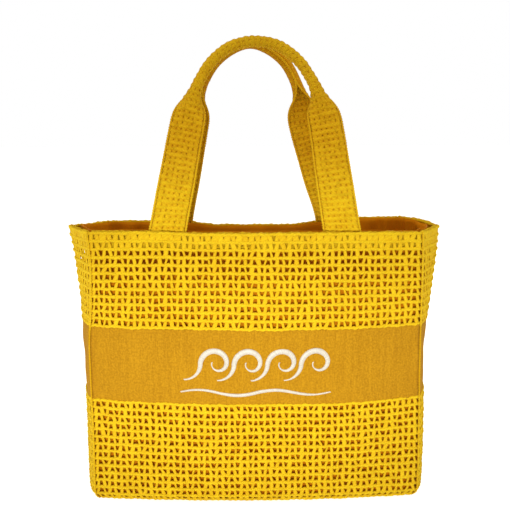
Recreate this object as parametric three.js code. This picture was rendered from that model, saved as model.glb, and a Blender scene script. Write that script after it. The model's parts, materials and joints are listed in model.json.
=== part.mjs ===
// Crocheted beach bag: a lined open tote with a canvas band and two swinging handles.
// Millimetres, +Z up. The origin is under the middle of the base, the front faces -Y.
import * as THREE from 'three';

// ---- Bag body ----
const seamSpan = 392;          // width of the front and back panels between their side seams, at the base
const rimSeamSpan = 382;       // the same width at the rim
const bagDepth = 116;          // front seams to back seams
const bagHeight = 330;
const bottomRadius = 15;       // where the walls turn under into the base
const sideBulge = 17;          // how far the gussets round outwards
const mouthFlare = 18;         // what the gusset creases add to that at the rim
const flareStart = 0.5;        // share of the height where the flare begins
const frontBelly = 15;         // how far the wide panels fill out at mid height
const rimBelly = 3;            // how far the front rim bows out
const backRimDip = 16;         // how far the middle of the back rim leans into the bag
const dipStart = 0.45;         // share of the height where that lean begins

// ---- Fabrics ----
const crochetThickness = 4;
const canvasThickness = 1.6;
const canvasRecess = 1.4;      // how far the canvas band lies under the crochet's outer face
const liningThickness = 0.8;
const baseThickness = 4;
const bandBottom = 130;        // heights of the canvas band's two edges
const bandTop = 218;
const hemHeight = 20;          // how far the rim is folded in
const hemThickness = 3;
const liningDrop = 2;          // top edge of the lining, below the rim
const liningEase = 14;         // how far past an edge under it the lining takes to lie down

// ---- Clearances ----
const clearance = 0.4;         // between pieces that touch
const layerClearance = 1.3;    // between curved layers that lie on each other
const seamRadius = 1.7;
const seamClearance = 2.7;     // from a side seam's line to the panels beside it

// ---- Handles ----
const legSpacing = 200;        // between the two legs of a handle, where they leave the rim
const strapWidth = 42;
const strapThickness = 5;
const legHeight = 127;         // how far the legs run straight before they turn
const legTopSpacing = 157;
const legTopWidth = 37;
const backPull = [5, 17.5];    // the back handle's left and right shoulders stand this much closer in
const handleRise = 216;        // from the swing line to the middle of the grip
const gripHeight = 14;         // the strap folded together into the grip
const gripDepth = 18;
const swingClearance = 0.35;   // between a swinging strap and either face of the rim
const swingHeight = 1;         // swing line above the rim
const strapStart = 3;          // where the moving strap begins, above the swing line
const tabLength = 20;          // the sewn-in end of a strap, below the rim
const gripsMeetAt = -2;        // the two grips stand together at this Y
const gripGap = 5;             // leaves room for both rows of closing thread
const gripSeamLength = 112;
const gripSeamWidth = 2.4;
const gripSeamThickness = 1.2;

// ---- Embroidery ----
const waveCount = 4;
const waveSize = 19.5;         // radius of a wave's curl where it begins
const waveFoot = 20;           // height and width of the slope that runs up into it
const waveGap = 2.2;           // between one wave's curl and the next wave
const waveStroke = 6.5;        // widest part of a wave's stroke
const waveTurns = 1.05;        // how far a curl winds in
const waveTaper = 0.3;         // size of the curl's end, as a share of its start
const waveLift = 5;            // the waves' middle above the band's middle
const footShare = 0.3;         // how much of a stroke is the slope
const swashLength = 176;
const swashDrop = 30;          // the long lower line under the waves' middle
const threadThickness = 0.9;

// ---- Mesh density ----
const panelColumns = 16;
const gussetColumns = 8;
const rowLength = 34;          // longest step up a wall
const rowMargin = 3;           // a row this close to a sheet's edge is left out
const turnRows = 4;            // steps round the bottom radius
const strapSteps = 40;
const strokeSteps = 32;
const seamSteps = 24;

const yellow = { color: 0xe6b022, roughness: 0.92, metalness: 0 };
const canvas = { color: 0xd49c22, roughness: 0.95, metalness: 0 };
const brown = { color: 0xa8691a, roughness: 0.85, metalness: 0 };
const white = { color: 0xf2ede2, roughness: 0.6, metalness: 0 };

const quarter = bottomRadius * Math.PI / 2;
const wallLength = quarter + bagHeight - bottomRadius;
const layerDepth = crochetThickness + layerClearance;
const hemDepth = layerDepth;
const rimThickness = hemDepth + hemThickness;
const flatOffset = (rimThickness + strapThickness) / 2 + swingClearance;
const tabDepth = rimThickness + layerClearance;
const bag = new THREE.Group();

const mix = (a, b, share) => a + (b - a) * share;
const ease = (from, to, value) => THREE.MathUtils.smoothstep(value, from, to);
const fade = (from, to, value) => 1 - ease(from, to, value);
const lengthAt = height => height - bottomRadius + quarter;

function addPiece(name, geometry, finish, parent = bag) {
  const mesh = new THREE.Mesh(geometry, new THREE.MeshStandardMaterial(finish));
  mesh.name = name;
  parent.add(mesh);
  return mesh;
}

// A wall's section: from under the base, round the bottom radius and straight up.
function wallProfile(length) {
  const turn = Math.min(length / bottomRadius, Math.PI / 2);
  const rise = Math.max(length - quarter, 0);
  return {
    inset: bottomRadius * (1 - Math.sin(turn)),
    height: bottomRadius * (1 - Math.cos(turn)) + rise,
    level: Math.sin(turn),
    down: Math.cos(turn),
  };
}

const panelHalf = share => mix(seamSpan, rimSeamSpan, ease(0.3, 1, share)) / 2;
const bellyAt = share => mix(frontBelly * Math.sin(Math.PI * mix(0.2, 1, share)), rimBelly, ease(0.6, 1, share));

function frontOut(across, share) {
  return bellyAt(share) * (1 - across ** 2);
}

function backOut(across, share) {
  const dip = (backRimDip + rimBelly) * ease(dipStart, 1, share) * (1 - across ** 2) ** 2;
  return frontOut(across, share) - dip;
}

// The gussets are round low down and creased at the mouth.
function sideOut(across, share) {
  const flare = ease(flareStart, 1, share);
  const power = mix(2.2, 1.25, flare);
  return (sideBulge + mouthFlare * flare) * (1 - Math.abs(across) ** power);
}

// Each wall's place for across from -1 to 1 (anticlockwise seen from above), a length up the wall,
// and a depth under its outer face.
function wide(side, outAt) {
  return (across, length, depth) => {
    const at = wallProfile(length);
    const share = at.height / bagHeight;
    const x = across * (panelHalf(share) - at.inset);
    const out = bagDepth / 2 - at.inset + outAt(across, share) - depth * at.level;
    return new THREE.Vector3(side * x, -side * out, at.height + depth * at.down);
  };
}

function narrow(side) {
  return (across, length, depth) => {
    const at = wallProfile(length);
    const share = at.height / bagHeight;
    const out = panelHalf(share) - at.inset + sideOut(across, share) - depth * at.level;
    const y = across * (bagDepth / 2 - at.inset);
    return new THREE.Vector3(side * out, side * y, at.height + depth * at.down);
  };
}

const walls = {
  front: { place: wide(1, frontOut), span: rimSeamSpan - 2 * bottomRadius, columns: panelColumns },
  right: { place: narrow(1), span: bagDepth - 2 * bottomRadius, columns: gussetColumns },
  back: { place: wide(-1, backOut), span: rimSeamSpan - 2 * bottomRadius, columns: panelColumns },
  left: { place: narrow(-1), span: bagDepth - 2 * bottomRadius, columns: gussetColumns },
};

// A thin box bent to any shape: place takes shares along, through and up.
function bentBox(columns, layers, rows, place) {
  const geometry = new THREE.BoxGeometry(1, 1, 1, columns, layers, rows);
  const points = geometry.getAttribute('position');
  for (let i = 0; i < points.count; i++) {
    const point = place(points.getX(i) + 0.5, points.getY(i) + 0.5, points.getZ(i) + 0.5);
    points.setXYZ(i, point.x, point.y, point.z);
  }
  geometry.computeVertexNormals();
  return geometry;
}

// The lengths up a wall where every layer has a row, so that the layers bend in the same places.
function wallRows() {
  const edges = [0, quarter, lengthAt(bandBottom), lengthAt(bandTop)];
  for (const below of [tabLength + 3 * liningEase, tabLength + liningEase, hemHeight + liningEase, 0]) {
    edges.push(wallLength - below);
  }
  const rows = [];
  for (let i = 1; i < edges.length; i++) {
    const steps = i === 1 ? turnRows : Math.ceil((edges[i] - edges[i - 1]) / rowLength);
    for (let j = 0; j < steps; j++) rows.push(mix(edges[i - 1], edges[i], j / steps));
  }
  return rows;
}

function rowsBetween(from, to) {
  const inside = wallRows().filter(length => length > from + rowMargin && length < to - rowMargin);
  return [from, ...inside, to];
}

// A sheet on one wall, with rows at the given lengths; depthAt gives its outer face there.
// Its side edges are mitred, so sheets of any depth pass each other at the corners.
function wallSheet(wall, stops, thickness, depthAt) {
  const rows = stops.length - 1;
  return bentBox(wall.columns, 1, rows, (along, through, up) => {
    const length = stops[Math.round(up * rows)];
    const depth = depthAt(length) + through * thickness;
    const room = wall.place(-1, length, 0).distanceTo(wall.place(1, length, 0));
    const mitre = seamClearance + depth * wallProfile(length).level;
    return wall.place((along * 2 - 1) * (1 - 2 * mitre / room), length, depth);
  });
}

function buildShell() {
  const edge = clearance / 2;
  const bottom = lengthAt(bandBottom);
  const top = lengthAt(bandTop);
  for (const [name, wall] of Object.entries(walls)) {
    const flush = () => 0;
    const recessed = () => canvasRecess;
    const lower = wallSheet(wall, rowsBetween(clearance, bottom - edge), crochetThickness, flush);
    const band = wallSheet(wall, rowsBetween(bottom + edge, top - edge), canvasThickness, recessed);
    const upper = wallSheet(wall, rowsBetween(top + edge, wallLength), crochetThickness, flush);
    addPiece(`${name}_lower_crochet`, lower, yellow);
    addPiece(`${name}_canvas_band`, band, canvas);
    addPiece(`${name}_upper_crochet`, upper, yellow);
  }
}

// An outline at the foot of the walls, drawn in from their lowest line.
function footOutline(inward) {
  const points = [];
  for (const wall of Object.values(walls)) {
    for (let i = 0; i < wall.columns; i++) {
      const point = wall.place(mix(-1, 1, i / wall.columns), 0, 0);
      const across = Math.max(0, Math.abs(point.x) - inward) * Math.sign(point.x);
      points.push(new THREE.Vector2(across, Math.max(0, Math.abs(point.y) - inward) * Math.sign(point.y)));
    }
  }
  return new THREE.Shape(points);
}

function flatPiece(outline, bottom, thickness) {
  const geometry = new THREE.ExtrudeGeometry(outline, { depth: thickness, bevelEnabled: false });
  geometry.translate(0, 0, bottom);
  return geometry;
}

function buildBase() {
  addPiece('base_crochet', flatPiece(footOutline(clearance), 0, baseThickness), yellow);
  const liningInset = clearance + seamClearance;
  const liningBottom = baseThickness + layerClearance;
  addPiece('base_lining', flatPiece(footOutline(liningInset), liningBottom, liningThickness), brown);
}

function cordAlong(points, radius) {
  const path = new THREE.CatmullRomCurve3(points);
  const section = new THREE.Shape().absarc(0, 0, radius, 0, 2 * Math.PI, false);
  const options = { steps: seamSteps, curveSegments: 6, extrudePath: path };
  return new THREE.ExtrudeGeometry(section, options);
}

function buildCornerSeams() {
  const corners = [['front_right', walls.front], ['back_right', walls.right],
    ['back_left', walls.back], ['front_left', walls.left]];
  const first = quarter * 0.5;
  for (const [name, wall] of corners) {
    const points = [];
    for (let i = 0; i <= seamSteps; i++) {
      points.push(wall.place(1, mix(first, wallLength, i / seamSteps), 0));
    }
    addPiece(`${name}_side_seam`, cordAlong(points, seamRadius), yellow);
  }
}

// The rim is turned in on itself, so a second layer stands inside the top of every wall.
function buildHem() {
  for (const [name, wall] of Object.entries(walls)) {
    const hem = wallSheet(wall, rowsBetween(wallLength - hemHeight, wallLength), hemThickness, () => hemDepth);
    addPiece(`${name}_hem`, hem, yellow);
  }
}

// The lining lies on the shell, steps over the hem and rises over the sewn-in strap ends.
function liningDepth(hasTabs) {
  const onHem = hemThickness + layerClearance;
  const step = hasTabs ? onHem + strapThickness + layerClearance : onHem;
  return length => {
    const below = wallLength - length;
    return layerDepth + step * fade(tabLength + liningEase, tabLength + 3 * liningEase, below);
  };
}

function buildLining() {
  for (const [name, wall] of Object.entries(walls)) {
    const hasTabs = name === 'front' || name === 'back';
    const stops = rowsBetween(quarter * 0.2, wallLength - liningDrop);
    const lining = wallSheet(wall, stops, liningThickness, liningDepth(hasTabs));
    addPiece(`${name}_lining`, lining, brown);
  }
}

// ---- Handles ----
const legLine = (legSpacing - legTopSpacing) / 2 / legHeight;
const swingFront = -(bagDepth / 2 + frontOut(legSpacing / rimSeamSpan, 1)) + rimThickness / 2;
const swingBack = bagDepth / 2 + backOut(legSpacing / rimSeamSpan, 1) - rimThickness / 2;

// How far a strap stands inside its swing line: it passes over the rim, and over what the rim
// bows out between the middle of a leg and its outer edge.
function offsetOf(outAt) {
  const edge = outAt((legSpacing + strapWidth) / rimSeamSpan, 1);
  return flatOffset + Math.max(0, edge - outAt(legSpacing / rimSeamSpan, 1));
}

// The angle a handle leans over the mouth, so that the two grips stand side by side.
function leanOf(side, swingY, offset) {
  const gripY = gripsMeetAt - side * (gripDepth + gripGap) / 2;
  const reach = Math.hypot(handleRise, offset);
  return Math.asin(side * (gripY - swingY) / reach) - Math.atan2(offset, handleRise);
}

// The handle's middle line in its own plane, from the left leg to the right one. The pulls draw
// its shoulders in, most where the legs end.
function handleCurve([pullLeft, pullRight]) {
  const pulled = (pull, up) => pull * ease(0, legHeight, up) * mix(1, 0.65, ease(legHeight, handleRise, up));
  const foot = legSpacing / 2 - strapStart * legLine;
  const side = [
    [foot, strapStart],
    [mix(foot, legTopSpacing / 2, 0.5), mix(strapStart, legHeight, 0.5)],
    [legTopSpacing / 2, legHeight],
    [legTopSpacing * 0.46, mix(legHeight, handleRise, 0.3)],
    [legTopSpacing * 0.395, mix(legHeight, handleRise, 0.55)],
    [legTopSpacing * 0.305, mix(legHeight, handleRise, 0.77)],
    [legTopSpacing * 0.17, mix(legHeight, handleRise, 0.94)],
  ];
  const left = side.map(([x, up]) => new THREE.Vector3(pulled(pullLeft, up) - x, 0, up));
  const right = side.map(([x, up]) => new THREE.Vector3(x - pulled(pullRight, up), 0, up)).reverse();
  const top = new THREE.Vector3(pulled((pullLeft - pullRight) / 2, handleRise), 0, handleRise);
  return new THREE.CatmullRomCurve3([...left, top, ...right], false, 'centripetal');
}

// The strap is flat on the legs and folded to a thick grip on top.
function strapSection(point) {
  const folded = ease(legHeight + 4, mix(legHeight, handleRise, 0.52), point.z);
  const flatWidth = mix(strapWidth, legTopWidth, Math.min(point.z / legHeight, 1));
  return {
    width: mix(flatWidth, gripHeight, folded),
    thickness: mix(strapThickness, gripDepth, folded),
    round: mix(0.15, 0.9, folded),
  };
}

// A square section whose corners are drawn in towards an ellipse.
function roundedPoint(x, y, round) {
  return [x * mix(1, Math.sqrt(1 - y * y / 2), round), y * mix(1, Math.sqrt(1 - x * x / 2), round)];
}

function strapGeometry(curve) {
  return bentBox(4, 2, strapSteps, (along, through, up) => {
    const middle = curve.getPointAt(up);
    const tangent = curve.getTangentAt(up);
    const square = ease(strapStart, legHeight / 2, middle.z);
    const across = new THREE.Vector3(tangent.z, 0, -tangent.x * square);
    const section = strapSection(middle);
    const [a, b] = roundedPoint(along * 2 - 1, through * 2 - 1, section.round);
    const point = middle.clone().addScaledVector(across, a * section.width / 2);
    return point.setY(b * section.thickness / 2);
  });
}

// The row of thread that closes the folded grip, on the side that faces the other grip.
function gripSeamGeometry(curve, side) {
  const start = 0.5 - gripSeamLength / curve.getLength() / 2;
  return bentBox(1, 1, strapSteps / 2, (along, through, up) => {
    const share = mix(start, 1 - start, up);
    const middle = curve.getPointAt(share);
    const tangent = curve.getTangentAt(share);
    const across = new THREE.Vector3(tangent.z, 0, -tangent.x).multiplyScalar(side);
    const face = strapSection(middle).thickness / 2 + clearance;
    const point = middle.clone().addScaledVector(across, (along - 0.5) * gripSeamWidth);
    return point.setY(side * (face + through * gripSeamThickness));
  });
}

function buildHandle(name, side, swingY, offset, pulls) {
  const swing = new THREE.Group();
  swing.position.set(0, swingY, bagHeight + swingHeight);
  swing.rotation.x = -side * leanOf(side, swingY, offset);
  bag.add(swing);
  const curve = handleCurve(pulls);
  const strap = strapGeometry(curve).translate(0, side * offset, 0);
  const seam = gripSeamGeometry(curve, side).translate(0, side * offset, 0);
  addPiece(`${name}_handle_strap`, strap, yellow, swing);
  addPiece(`${name}_grip_seam`, seam, yellow, swing);
}

// The strap ends sewn between the hem and the lining.
function buildTabs() {
  for (const name of ['front', 'back']) {
    for (const [sideName, side] of [['left', -1], ['right', 1]]) {
      const facing = name === 'front' ? side : -side;
      const wall = walls[name];
      const tab = bentBox(4, 1, 3, (along, through, up) => {
        const below = mix(tabLength, clearance, up);
        const length = wallLength - below;
        const x = facing * (legSpacing / 2 + below * legLine) + (along - 0.5) * strapWidth;
        const across = x / panelHalf((bagHeight - below) / bagHeight);
        return wall.place(across, length, tabDepth + through * strapThickness);
      });
      addPiece(`${name}_${sideName}_strap_end`, tab, yellow);
    }
  }
}

// ---- Embroidery: a row of curling waves over one long line ----
function onBand(x, height, through) {
  const share = height / bagHeight;
  const across = x / panelHalf(share);
  const depth = canvasRecess - clearance - threadThickness * (1 - through);
  return walls.front.place(across, lengthAt(height), depth);
}

// A stroke of thread along a line drawn on the band; the width is given along it.
function stroke(pointAt, widthAt) {
  return bentBox(1, 1, strokeSteps, (along, through, up) => {
    const here = pointAt(up);
    const ahead = pointAt(up + 0.002).sub(pointAt(up - 0.002)).normalize();
    const out = (along - 0.5) * widthAt(up);
    return onBand(here.x + ahead.y * out, here.y - ahead.x * out, through);
  });
}

function buildEmbroidery() {
  const middle = (bandBottom + bandTop) / 2;
  const crest = waveSize * waveTaper ** (0.5 / waveTurns);
  const wavePitch = waveSize + crest + waveStroke + waveGap;
  const level = middle + waveLift;
  const swell = share => mix(waveStroke * 0.24, waveStroke, Math.sin(Math.PI * Math.min(1, share * 1.12)) ** 1.4);
  for (let i = 0; i < waveCount; i++) {
    const centre = (i - (waveCount - 1) / 2) * wavePitch + (waveSize + waveFoot - crest) / 2;
    const curl = share => {
      if (share < footShare) {
        const rise = share / footShare * Math.PI / 2;
        const out = waveSize + waveFoot * (1 - Math.sin(rise));
        return new THREE.Vector2(centre - out, level - waveFoot * Math.cos(rise));
      }
      const inner = (share - footShare) / (1 - footShare);
      const turn = Math.PI * (1 - 2 * waveTurns * inner);
      const radius = waveSize * waveTaper ** inner;
      return new THREE.Vector2(centre + radius * Math.cos(turn), level + radius * Math.sin(turn));
    };
    addPiece(`embroidered_wave_${i + 1}`, stroke(curl, swell), white);
  }
  const sway = share => new THREE.Vector2(
    (share - 0.5) * swashLength, middle - swashDrop + 3 * Math.sin(4 * Math.PI * share));
  const thin = share => mix(waveStroke * 0.24, waveStroke * 0.62, Math.sin(Math.PI * share));
  addPiece('embroidered_swash', stroke(sway, thin), white);
}

buildShell();
buildBase();
buildCornerSeams();
buildHem();
buildLining();
buildHandle('front', 1, swingFront, offsetOf(frontOut), [0, 0]);
buildHandle('back', -1, swingBack, offsetOf(backOut), backPull);
buildTabs();
buildEmbroidery();

export default bag;
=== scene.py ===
import json
import math
import bpy
import numpy as np
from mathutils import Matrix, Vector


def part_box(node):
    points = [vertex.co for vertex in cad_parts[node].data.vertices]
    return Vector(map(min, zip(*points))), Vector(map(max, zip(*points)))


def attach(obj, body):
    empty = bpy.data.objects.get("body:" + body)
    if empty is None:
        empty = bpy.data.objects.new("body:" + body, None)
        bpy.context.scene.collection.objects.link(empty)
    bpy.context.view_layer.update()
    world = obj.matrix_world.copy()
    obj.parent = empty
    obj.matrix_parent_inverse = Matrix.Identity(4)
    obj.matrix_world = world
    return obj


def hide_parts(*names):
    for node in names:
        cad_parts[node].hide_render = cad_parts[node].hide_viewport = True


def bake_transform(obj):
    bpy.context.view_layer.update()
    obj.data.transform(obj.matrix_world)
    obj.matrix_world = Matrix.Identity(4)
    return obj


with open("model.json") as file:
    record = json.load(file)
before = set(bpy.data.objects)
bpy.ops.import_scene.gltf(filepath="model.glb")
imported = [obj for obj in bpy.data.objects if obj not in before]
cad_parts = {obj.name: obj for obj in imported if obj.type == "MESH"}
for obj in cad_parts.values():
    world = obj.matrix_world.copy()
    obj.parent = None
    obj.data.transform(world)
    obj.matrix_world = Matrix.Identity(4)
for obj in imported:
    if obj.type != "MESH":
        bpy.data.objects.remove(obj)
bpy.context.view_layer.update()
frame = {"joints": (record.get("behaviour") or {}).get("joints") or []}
joints = {joint["name"]: joint for joint in frame["joints"]}

# the walls follow the frame's own pieces; all sizes are in metres
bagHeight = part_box("front_upper_crochet")[1].z
bandLow, bandHigh = (corner.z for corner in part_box("front_canvas_band"))
bagShape = {
    "seamSpan": 0.392, "rimSeamSpan": 0.382, "depth": 0.116, "bottomRadius": 0.015,
    "sideBulge": 0.017, "mouthFlare": 0.018, "flareStart": 0.5,
    "frontBelly": 0.015, "rimBelly": 0.003, "backRimDip": 0.016, "dipStart": 0.45,
    "bowPower": 2.2, "mouthPower": 1.25,   # how round a gusset is, low down and at the mouth
}
softShape = {
    "sway": 0.0016, "swayStarts": (0.01, 0.10), "swayEnds": (0.30, 0.335),   # slow waves in the walls
    "frontSplay": 0.006, "splayEnds": (0.0, 0.10),   # the foot of the front wall stands out
    "leftTuck": 0.004, "tuckStarts": (0.19, 0.25), "tuckEnds": (0.33, 0.29),   # under the left crease
    "rimStarts": (0.26, 0.33), "rimEnds": (0.335, 0.36),
    "rimSag": 0.0035, "sagEnds": (0.045, 0.085),   # the back rim between the straps
    "backLift": 0.0035, "backLiftStarts": (0.09, 0.14),   # the back rim beside the right strap
    "frontLift": 0.0025, "frontLiftStarts": (-0.05, -0.13),   # the front rim beside the left strap
    "droop": 0.0030, "droopStarts": (0.03, 0.13), "droopEnds": (0.20, 0.30),   # rows hang in the middle
    "droopMiddle": 0.02, "droopWidth": 0.03,
}
layers = {
    "crochet": 0.004, "canvas": 0.0016, "canvasRecess": 0.0014, "lining": 0.0008,
    "hem": 0.003, "hemHeight": 0.020, "gap": 0.0013, "strap": 0.005,
    "tabLength": 0.020, "liningDrop": 0.0006, "liningEase": 0.014,
}
quarter = bagShape["bottomRadius"] * math.pi / 2
wallLength = quarter + bagHeight - bagShape["bottomRadius"]
layerDepth = layers["crochet"] + layers["gap"]
rimThickness = layerDepth + layers["hem"]
wallNames = ["front", "right", "back", "left"]
strapSides = {"front": 1, "back": -1}


def mix(low, high, share):
    return low + (high - low) * share


def smoothStep(low, high, value):
    share = np.clip((np.asarray(value, float) - low) / (high - low), 0, 1)
    return share * share * (3 - 2 * share)


def lengthAt(height):
    return height - bagShape["bottomRadius"] + quarter


def panelHalf(share):
    return mix(bagShape["seamSpan"], bagShape["rimSeamSpan"], smoothStep(0.3, 1, share)) / 2


def bellyAt(share):
    full = bagShape["frontBelly"] * np.sin(math.pi * mix(0.2, 1, share))
    return mix(full, bagShape["rimBelly"], smoothStep(0.6, 1, share))


def outAt(wall, across, share):
    if wall in ("left", "right"):
        flare = smoothStep(bagShape["flareStart"], 1, share)
        reach = bagShape["sideBulge"] + bagShape["mouthFlare"] * flare
        return reach * (1 - np.abs(across) ** mix(bagShape["bowPower"], bagShape["mouthPower"], flare))
    belly = bellyAt(share) * (1 - across ** 2)
    if wall == "front":
        return belly
    dip = bagShape["backRimDip"] + bagShape["rimBelly"]
    return belly - dip * smoothStep(bagShape["dipStart"], 1, share) * np.clip(1 - across ** 2, 0, 1) ** 2


def wallPoint(wall, across, length, depth):
    # across runs -1..1 anticlockwise from above, length up the cloth, depth inwards
    radius = bagShape["bottomRadius"]
    turn = np.minimum(length / radius, math.pi / 2)
    inset = radius * (1 - np.sin(turn))
    height = radius * (1 - np.cos(turn)) + np.maximum(length - quarter, 0)
    share = height / bagHeight
    side = 1 if wall in ("front", "right") else -1
    widths = (panelHalf(share) - inset, bagShape["depth"] / 2 - inset)
    bow = outAt(wall, across, share) - depth * np.sin(turn)
    rise = height + depth * np.cos(turn)
    if wall in ("front", "back"):
        return np.stack([side * across * widths[0], -side * (widths[1] + bow), rise], -1)
    return np.stack([side * (widths[0] + bow), side * across * widths[1], rise], -1)


def soften(points):
    # the whole soft body leans and sags a little, every layer alike
    shape = softShape
    x, y, z = points[..., 0], points[..., 1], points[..., 2]
    isBack = smoothStep(0.0, 0.03, y)
    sway = shape["sway"] * smoothStep(*shape["swayStarts"], z) * (1 - smoothStep(*shape["swayEnds"], z))
    moveX = sway * 0.5 * np.sin(z * 24 + np.sign(x) * 0.9)
    moveY = sway * (np.sin(x * 21 + 0.7 + z * 9) + 0.6 * np.sin(x * 43 - z * 17 + 2.1))
    splay = (1 - smoothStep(*shape["splayEnds"], z)) * smoothStep(0.0, -0.05, y)
    moveY = moveY - shape["frontSplay"] * splay
    tuck = smoothStep(*shape["tuckStarts"], z) * smoothStep(*shape["tuckEnds"], z)
    moveX = moveX + shape["leftTuck"] * tuck * smoothStep(-0.17, -0.20, x)
    rim = smoothStep(*shape["rimStarts"], z) * (1 - smoothStep(*shape["rimEnds"], z))
    sag = shape["rimSag"] * (1 - smoothStep(*shape["sagEnds"], np.abs(x))) * isBack
    lift = shape["backLift"] * isBack * smoothStep(*shape["backLiftStarts"], x)
    lift = lift + shape["frontLift"] * (1 - isBack) * smoothStep(*shape["frontLiftStarts"], x)
    moveZ = rim * (lift - sag)
    hang = smoothStep(*shape["droopStarts"], z) * (1 - smoothStep(*shape["droopEnds"], z)) * (1 - isBack)
    spread = (x - shape["droopMiddle"]) ** 2 / shape["droopWidth"] - 0.4
    moveZ = moveZ + shape["droop"] * hang * spread
    return points + np.stack([moveX, moveY, moveZ], -1)


def deselectAll():
    for item in list(bpy.context.selected_objects):
        item.select_set(False)


def makeActive(piece):
    deselectAll()
    piece.select_set(True)
    bpy.context.view_layer.objects.active = piece


def applyAll(piece):
    makeActive(piece)
    for modifier in list(piece.modifiers):
        bpy.ops.object.modifier_apply(modifier=modifier.name)


def meshPiece(name, points, faces):
    mesh = bpy.data.meshes.new(name)
    mesh.from_pydata(np.asarray(points).reshape(-1, 3).tolist(), [], faces)
    piece = bpy.data.objects.new(name, mesh)
    bpy.context.scene.collection.objects.link(piece)
    return piece


def readPoints(piece):
    flat = np.zeros(len(piece.data.vertices) * 3)
    piece.data.vertices.foreach_get("co", flat)
    return flat.reshape(-1, 3)


def writePoints(piece, points):
    piece.data.vertices.foreach_set("co", points.astype(np.float32).ravel())
    piece.data.update()


def writeVectors(piece, name, values):
    attribute = piece.data.attributes.new(name, "FLOAT_VECTOR", "POINT")
    attribute.data.foreach_set("vector", values.astype(np.float32).ravel())


def writeUv(piece, uv):
    loops = np.zeros(len(piece.data.loops), int)
    piece.data.loops.foreach_get("vertex_index", loops)
    layer = piece.data.uv_layers.new(name="cloth")
    layer.data.foreach_set("uv", uv.reshape(-1, 2)[loops].astype(np.float32).ravel())


def gridFaces(rows, columns, closed=False):
    faces = []
    for row in range(rows - 1):
        for column in range(columns if closed else columns - 1):
            ahead = (column + 1) % columns
            faces.append((row * columns + column, row * columns + ahead,
                          (row + 1) * columns + ahead, (row + 1) * columns + column))
    return faces


def tidyShell(piece, weld=1e-5, fillEnds=True):
    makeActive(piece)
    bpy.ops.object.mode_set(mode="EDIT")
    bpy.ops.mesh.select_all(action="SELECT")
    bpy.ops.mesh.remove_doubles(threshold=weld)
    if fillEnds:
        bpy.ops.mesh.select_all(action="SELECT")
        bpy.ops.mesh.fill_holes(sides=12)
    bpy.ops.mesh.select_all(action="SELECT")
    bpy.ops.mesh.normals_make_consistent(inside=False)
    bpy.ops.object.mode_set(mode="OBJECT")
    piece.data.polygons.foreach_set("use_smooth", np.ones(len(piece.data.polygons), bool))
    piece.data.update()


def clothSheet(name, points, uv, thickness):
    # a grid of points becomes a sheet whose given side is the outer face
    rows, columns = points.shape[:2]
    piece = meshPiece(name, points, gridFaces(rows, columns))
    writeUv(piece, uv)
    solid = piece.modifiers.new("thickness", "SOLIDIFY")
    solid.thickness = thickness
    solid.offset = -1
    applyAll(piece)
    tidyShell(piece, fillEnds=False)
    return piece


def latticeNoise(rng, u, v, strength, channels=1):
    # smooth seeded noise with a knot at every whole u and v
    u = u - np.floor(u.min())
    v = v - np.floor(v.min())
    knots = rng.uniform(-1, 1, (int(v.max()) + 3, int(u.max()) + 3, channels)) * strength
    column, row = np.floor(u).astype(int), np.floor(v).astype(int)
    a, b = smoothStep(0, 1, u - column)[:, None], smoothStep(0, 1, v - row)[:, None]
    low = mix(knots[row, column], knots[row, column + 1], a)
    high = mix(knots[row + 1, column], knots[row + 1, column + 1], a)
    return mix(low, high, b)


def finishPiece(piece, body, slot, material, *nodes):
    piece.data.materials.clear()
    piece.data.materials.append(material)
    if body:
        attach(piece, body)
    if nodes:
        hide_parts(*nodes)
    return piece


class Wire:
    # a node socket that takes plain arithmetic
    def __init__(self, shader, socket):
        self.shader, self.socket = shader, socket

    def math(self, operation, *others):
        values = {index: other for index, other in enumerate(others, 1)}
        return self.shader.add("ShaderNodeMath", {"operation": operation}, {0: self, **values})

    def __add__(self, other):
        return self.math("ADD", other)

    def __mul__(self, other):
        return self.math("MULTIPLY", other)

    def __sub__(self, other):
        return self.math("SUBTRACT", other)

    def __rsub__(self, other):
        return self.shader.add("ShaderNodeMath", {"operation": "SUBTRACT"}, {0: other, 1: self})

    __radd__ = __add__
    __rmul__ = __mul__


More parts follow.
